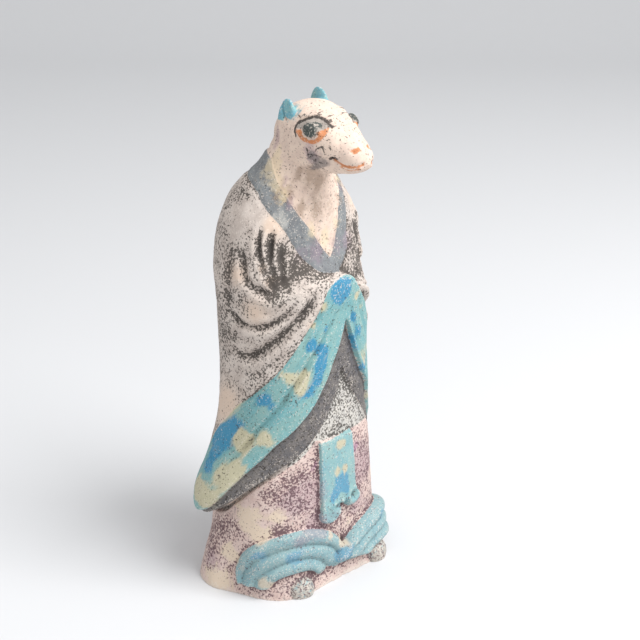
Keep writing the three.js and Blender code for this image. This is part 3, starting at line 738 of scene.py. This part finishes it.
# Direction of the brush: along the cuffs, down the sash, round the scrolls, anyhow elsewhere
brush = points.copy()
cuffSpan = np.maximum(guides(angle)[3] - guides(angle)[2], 3)
alongCuff = np.stack([out * 0.22, 20 * (z - guides(angle)[2]) / cuffSpan, 40 * np.sign(x)], -1)
brush[areas["cuff"] > -1] = alongCuff[areas["cuff"] > -1]
downSash = np.stack([angle * 36.5, z * 0.3, 0 * z + 80], -1)
brush[areas["sash"] > -1] = downSash[areas["sash"] > -1]
u, v = (out - scroll["angle"]) * 0.87, z - scroll["height"]
roundScroll = np.stack([np.hypot(u, v), np.arctan2(u, v) * 6, 120 + 40 * np.sign(x)], -1)
onScroll = (areas["scroll"] > -1) & (z < 48)
brush[onScroll] = roundScroll[onScroll]

# How much dark pigment stands in grains, from 0 to 1
amounts = {name: patchTotal(name) for name in patches}
clouds = lumps(points, 13, 21) * 0.5 + lumps(points, 5.5, 22) * 0.3
robeHere = (aboveCuffTop > 0) | (out > 122)
grain = np.where(robeHere, 0.52 + 0.16 * clouds, 0)
grain = np.where((aboveHem < 0), 0.44 + 0.2 * clouds, grain)
grain = np.where(areas["tunic"] > 0, 0.5, grain)
grain = np.where(areas["boss"] > 0, 0.6, grain)
# pale patches thin the dark grains, partly as a painted highlight on the forearm's top edge and the chest's near side
grain = grain + 0.3 * amounts["dark"] - 0.3 * amounts["paleAndHighlight"] - 0.35 * amounts["bare"]
grain = grain + np.clip(hollow * 0.55, -0.15, 0.35) + np.clip(wideHollow * 0.12, -0.1, 0.25)
painted = np.max([areas[name] for name in ("lining", "cuff", "sash", "scroll", "collar", "skin", "ear")], axis=0)
grain = np.where(painted > 0, 0.1 + 0.12 * clouds + np.clip(hollow * 0.3, 0, 0.3), grain)
grain = np.where(areas["lining"] > 0, 0.3 + 0.2 * clouds, grain)

for name, values in {**areas, **amounts, "grain": grain, "hollow": hollow, "wideHollow": wideHollow}.items():
    attribute = figureMesh.attributes.new(name, "FLOAT", "POINT")
    attribute.data.foreach_set("value", np.ascontiguousarray(values, np.float32))
attribute = figureMesh.attributes.new("brush", "FLOAT_VECTOR", "POINT")
attribute.data.foreach_set("vector", np.ascontiguousarray(brush, np.float32).ravel())
figureMesh.polygons.foreach_set("use_smooth", np.ones(len(figureMesh.polygons), bool))
print("paint areas marked")


def linear(hexColour):
    # an sRGB hex colour as linear red, green and blue, with full alpha
    parts = [int(hexColour[i:i + 2], 16) / 255 for i in (1, 3, 5)]
    return (*[part / 12.92 if part <= 0.04045 else ((part + 0.055) / 1.055) ** 2.4 for part in parts], 1)


def add(tree, kind, links=(), **settings):
    # one node: settings are its own values, links fill its sockets from a value or another node's output
    node = tree.nodes.new("ShaderNode" + kind)
    for key, value in settings.items():
        setattr(node, key, value)
    for socket, value in dict(links).items():
        if isinstance(value, bpy.types.NodeSocket):
            tree.links.new(value, node.inputs[socket])
        else:
            node.inputs[socket].default_value = value
    return node


# Painted earthenware: grey clay pressed in a mould, dipped in white slip, then painted cold with mineral
# colours in weak glue. It is dry and matt; the paint has flaked to grains, and soot lies in the hollows, deepened with
# painted shade.
coats = [
    # area, two tones, deep tone where "deepBlue" is, tone where "bare" is, ragged edge in mm
    {"area": "skirt", "tones": ("#d5c0b8", "#c9b0a8"), "bare": "#d8c6b2", "deep": "#b48fa0", "ragged": 0.5},
    {"area": "tunic", "tones": ("#c9c5be", "#b5b2ae"), "bare": "#cfc9c0", "deep": "#a9a9a9", "ragged": 0.6},
    {"area": "lining", "tones": ("#5e5c5e", "#77726f"), "bare": "#85807a", "deep": "#55555c", "ragged": 0.3},
    {"area": "cuff", "tones": ("#84a9a6", "#6fa3a8"), "bare": "#bcb79c", "deep": "#3b86a8", "ragged": 0.3},
    {"area": "sash", "tones": ("#8fb0ae", "#7ba6ad"), "bare": "#bcb59d", "deep": "#5b93ad", "ragged": 0.4},
    {"area": "boss", "tones": ("#c4bcb2", "#a8a39b"), "bare": "#cfc6b8", "deep": "#a0a0a0", "ragged": 0.5},
    {"area": "scroll", "tones": ("#8fabad", "#7d9fa6"), "bare": "#c0b8a8", "deep": "#6a97ac", "ragged": 0.5},
    {"area": "collar", "tones": ("#74777a", "#85898b"), "bare": "#a5a5a2", "deep": "#666a72", "ragged": 0.3},
    {"area": "skin", "tones": ("#e2cdbd", "#d6c0b2"), "bare": "#e6d6c4", "deep": "#cdbbb4", "ragged": 0.4},
    {"area": "ear", "tones": ("#84b0b2", "#6aa3b4"), "bare": "#a8bf9f", "deep": "#4d8fb0", "ragged": 0.3},
]


def paintedEarthenware():
    material = bpy.data.materials.new("painted earthenware")
    material.use_nodes = True
    tree = material.node_tree
    tree.nodes.clear()
    place = add(tree, "TexCoord").outputs["Object"]
    brushed = add(tree, "Attribute", attribute_name="brush").outputs["Vector"]
    fields = {}
    for name in [*areas, *amounts, "grain", "hollow", "wideHollow"]:
        fields[name] = add(tree, "Attribute", attribute_name=name).outputs["Fac"]

    # Noises, each with the size in mm of what it stands for
    noises = {}
    for name, size, detail, rough, along in (
        ("grainNoise", 1.25, 3, 0.65, place), ("speckNoise", 0.9, 2, 0.6, place), ("edgeNoise", 2.2, 3, 0.6, place),
        ("cloudNoise", 9, 4, 0.6, place), ("strokeNoise", 5, 4, 0.6, brushed), ("fineNoise", 0.7, 2, 0.5, place),
        ("strokeFine", 1.6, 3, 0.6, brushed),
    ):
        scale = 1 / size if along == brushed else 1 / (size * mm)
        links = {"Vector": along, "Scale": scale, "Detail": detail, "Roughness": rough}
        noises[name] = add(tree, "TexNoise", links).outputs["Fac"]

    # White slip tinted by soot, under everything: the robe shows it between its grains
    cloudy = add(tree, "MapRange", {"Value": noises["cloudNoise"], "From Min": 0.4, "From Max": 0.62})
    colour = add(tree, "Mix", {0: cloudy.outputs[0], 6: linear("#cbc0b8"), 7: linear("#b8aca4")}, data_type="RGBA")
    colour = add(tree, "Mix", {0: fields["bare"], 6: colour.outputs[2], 7: linear("#d4bfae")}, data_type="RGBA")
    colour = colour.outputs[2]
    streaky = add(tree, "MapRange", {"Value": noises["strokeNoise"], "From Min": 0.38, "From Max": 0.62}).outputs[0]
    ragged = add(tree, "Math", {0: noises["edgeNoise"], 1: 0.5}, operation="SUBTRACT").outputs[0]
    breaking = add(tree, "Math", {0: noises["strokeNoise"], 1: 0.5}, operation="SUBTRACT").outputs[0]
    for coat in coats:
        tone = add(tree, "Mix", {0: streaky, 6: linear(coat["tones"][0]), 7: linear(coat["tones"][1])}, data_type="RGBA")
        for patch, tint in (("deepBlue", coat["deep"]), ("bare", coat["bare"])):
            spread = add(tree, "Math", {0: breaking, 1: 2.2, 2: fields[patch]}, operation="MULTIPLY_ADD")
            inside = add(tree, "MapRange", {"Value": spread.outputs[0], "From Min": 0.25, "From Max": 0.7},
                         interpolation_type="SMOOTHSTEP")
            tone = add(tree, "Mix", {0: inside.outputs[0], 6: tone.outputs[2], 7: linear(tint)}, data_type="RGBA")
        edge = add(tree, "Math", {0: ragged, 1: 4 * coat["ragged"], 2: fields[coat["area"]]}, operation="MULTIPLY_ADD")
        inside = add(tree, "MapRange", {"Value": edge.outputs[0], "From Min": -0.2, "From Max": 0.25},
                     interpolation_type="SMOOTHSTEP")
        colour = add(tree, "Mix", {0: inside.outputs[0], 6: colour, 7: tone.outputs[2]}, data_type="RGBA").outputs[2]

    # Tints: violet blooms on the skin and the skirt, umber is grey-brown painted shade under the jaw and down the neck
    # and a brown tint on the robe, cream on the neck, soot under the cheek
    for patch, tint, most in (("violet", "#94798a", 0.42), ("umberAndShade", "#8a735f", 0.5), ("cream", "#dcc9a6", 0.55),
                              ("stain", "#6a6668", 0.7)):
        spread = add(tree, "Math", {0: ragged, 1: 1.4, 2: fields[patch]}, operation="MULTIPLY_ADD")
        inside = add(tree, "MapRange", {"Value": spread.outputs[0], "From Min": 0.15, "From Max": 0.9,
                                        "To Max": most}, interpolation_type="SMOOTHSTEP")
        colour = add(tree, "Mix", {0: inside.outputs[0], 6: colour, 7: linear(tint)}, data_type="RGBA").outputs[2]

    # Marks of the face, laid on with a small brush
    for area, tint, soft, most in (("lid", "#8e8b86", 0.5, 0.75), ("rouge", "#c9783f", 0.5, 0.85),
                                   ("iris", "#4c524f", 0.3, 1.0), ("ink", "#3a3634", 0.3, 0.9)):
        edge = add(tree, "Math", {0: ragged, 1: 2.2, 2: fields[area]}, operation="MULTIPLY_ADD")
        inside = add(tree, "MapRange", {"Value": edge.outputs[0], "From Min": -soft / 2, "From Max": soft,
                                        "To Max": most}, interpolation_type="SMOOTHSTEP")
        colour = add(tree, "Mix", {0: inside.outputs[0], 6: colour, 7: linear(tint)}, data_type="RGBA").outputs[2]

    # Grains of dark pigment, purple brown on the skirt and black brown elsewhere
    onSkirt = add(tree, "MapRange", {"Value": fields["skirt"], "From Min": -0.3, "From Max": 0.3}).outputs[0]
    pigment = add(tree, "Mix", {0: onSkirt, 6: linear("#38332f"), 7: linear("#5a3f48")}, data_type="RGBA").outputs[2]
    threshold = add(tree, "Math", {0: fields["grain"], 1: -0.32, 2: 0.66}, operation="MULTIPLY_ADD").outputs[0]
    over = add(tree, "Math", {0: noises["grainNoise"], 1: threshold}, operation="SUBTRACT").outputs[0]
    grains = add(tree, "MapRange", {"Value": over, "From Min": -0.035, "From Max": 0.05, "To Max": 0.88},
                 interpolation_type="SMOOTHSTEP").outputs[0]
    colour = add(tree, "Mix", {0: grains, 6: colour, 7: pigment}, data_type="RGBA").outputs[2]

    # Dirt and painted shade darken the hollows, and flecks of slip lie on the ridges
    hollowDirtAndShade = add(tree, "MapRange", {"Value": fields["hollow"], "From Min": 0.12, "From Max": 0.8, "To Max": 0.78},
               interpolation_type="SMOOTHSTEP").outputs[0]
    colour = add(tree, "Mix", {0: hollowDirtAndShade, 6: colour, 7: linear("#2f2c2b")}, data_type="RGBA").outputs[2]
    rubbed = add(tree, "Math", {0: fields["hollow"], 1: -0.25, 2: noises["speckNoise"]}, operation="MULTIPLY_ADD")
    flecks = add(tree, "MapRange", {"Value": rubbed.outputs[0], "From Min": 0.6, "From Max": 0.72, "To Max": 0.55},
                 interpolation_type="SMOOTHSTEP").outputs[0]
    colour = add(tree, "Mix", {0: flecks, 6: colour, 7: linear("#ddd3c8")}, data_type="RGBA").outputs[2]

    # Dry paint is matt; the deep blue at the joined hands keeps some glue and shines a little
    shine = add(tree, "MapRange", {"Value": fields["deepBlue"], "From Min": 0.5, "From Max": 1, "To Min": 0.86,
                                   "To Max": 0.5}).outputs[0]
    relief = add(tree, "Math", {0: noises["fineNoise"], 1: 0.6, 2: noises["grainNoise"]}, operation="MULTIPLY_ADD")
    raised = add(tree, "Bump", {"Height": relief.outputs[0], "Distance": 0.25 * mm, "Strength": 0.5})
    shader = add(tree, "BsdfPrincipled", {"Base Color": colour, "Roughness": shine, "Normal": raised.outputs[0],
                                          "IOR": 1.5, "Specular IOR Level": 0.35})
    surface = add(tree, "OutputMaterial")
    tree.links.new(shader.outputs[0], surface.inputs["Surface"])
    return material


figure = bpy.data.objects.new("paintedFigure", figureMesh)
bpy.context.scene.collection.objects.link(figure)
figureMesh.materials.clear()
figureMesh.materials.append(paintedEarthenware())
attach(figure, "root")
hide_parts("figure")
print("figure painted")

# Studio: a pale sweep of paper under and behind the figure, a broad soft light and a bright room
studio = {"paper": "#d9dadc", "halfWidth": 3.0, "front": -2.0, "bend": 1.6, "bendRadius": 1.0, "height": 3.0,
          "keyPower": 26, "keySize": 0.9, "keyTurn": 15, "keyRise": 52, "keyDistance": 1.5,
          "roomLight": 0.75}


def sweepPaper():
    # a strip seen from the side as a floor, a quarter circle and a wall, carried across; it faces the camera
    bend = np.linspace(0, np.pi / 2, 24)
    along = np.concatenate([[studio["front"]], studio["bend"] + studio["bendRadius"] * np.sin(bend),
                            [studio["bend"] + studio["bendRadius"]]])
    up = np.concatenate([[0], studio["bendRadius"] * (1 - np.cos(bend)), [studio["height"]]])
    across = np.array([-studio["halfWidth"], studio["halfWidth"]])
    grid = np.stack([along[:, None] + 0 * across, across + 0 * along[:, None], up[:, None] + 0 * across], -1)
    forward = np.array([-back[0], -back[1]]) / np.hypot(back[0], back[1])
    flat = np.stack([grid[..., 0] * forward[0] + grid[..., 1] * forward[1],
                     grid[..., 0] * forward[1] - grid[..., 1] * forward[0], grid[..., 2]], -1).reshape(-1, 3)
    first = np.arange(len(along) - 1) * 2
    mesh = bpy.data.meshes.new("paperSweep")
    mesh.from_pydata(flat, [], np.stack([first, first + 1, first + 3, first + 2], -1)[:, ::-1].tolist())
    mesh.polygons.foreach_set("use_smooth", np.ones(len(mesh.polygons), bool))
    return mesh


paper = bpy.data.objects.new("paperSweep", sweepPaper())
bpy.context.scene.collection.objects.link(paper)
paperFinish = bpy.data.materials.new("matt paper")
paperFinish.use_nodes = True
paperFinish.node_tree.nodes["Principled BSDF"].inputs["Base Color"].default_value = linear(studio["paper"])
paperFinish.node_tree.nodes["Principled BSDF"].inputs["Roughness"].default_value = 0.95
paperFinish.node_tree.nodes["Principled BSDF"].inputs["Specular IOR Level"].default_value = 0.1
paper.data.materials.append(paperFinish)

keyData = bpy.data.lights.new("softbox", "AREA")
keyData.shape = "SQUARE"
keyData.size = studio["keySize"]
keyData.energy = studio["keyPower"]
key = bpy.data.objects.new("softbox", keyData)
keyTurn, keyRise = studio["keyTurn"] * degrees, studio["keyRise"] * degrees
toKey = np.array([np.sin(keyTurn) * np.cos(keyRise), -np.cos(keyTurn) * np.cos(keyRise), np.sin(keyRise)])
key.location = toKey * studio["keyDistance"] + np.array([0, 0, 0.15])
key.rotation_euler = (np.pi / 2 - keyRise, 0, keyTurn)
bpy.context.scene.collection.objects.link(key)

room = bpy.data.worlds.new("room")
room.use_nodes = True
room.node_tree.nodes["Background"].inputs["Color"].default_value = (1, 1, 1, 1)
room.node_tree.nodes["Background"].inputs["Strength"].default_value = studio["roomLight"]
bpy.context.scene.world = room
bpy.context.scene.view_settings.view_transform = "Standard"
print("studio lit")
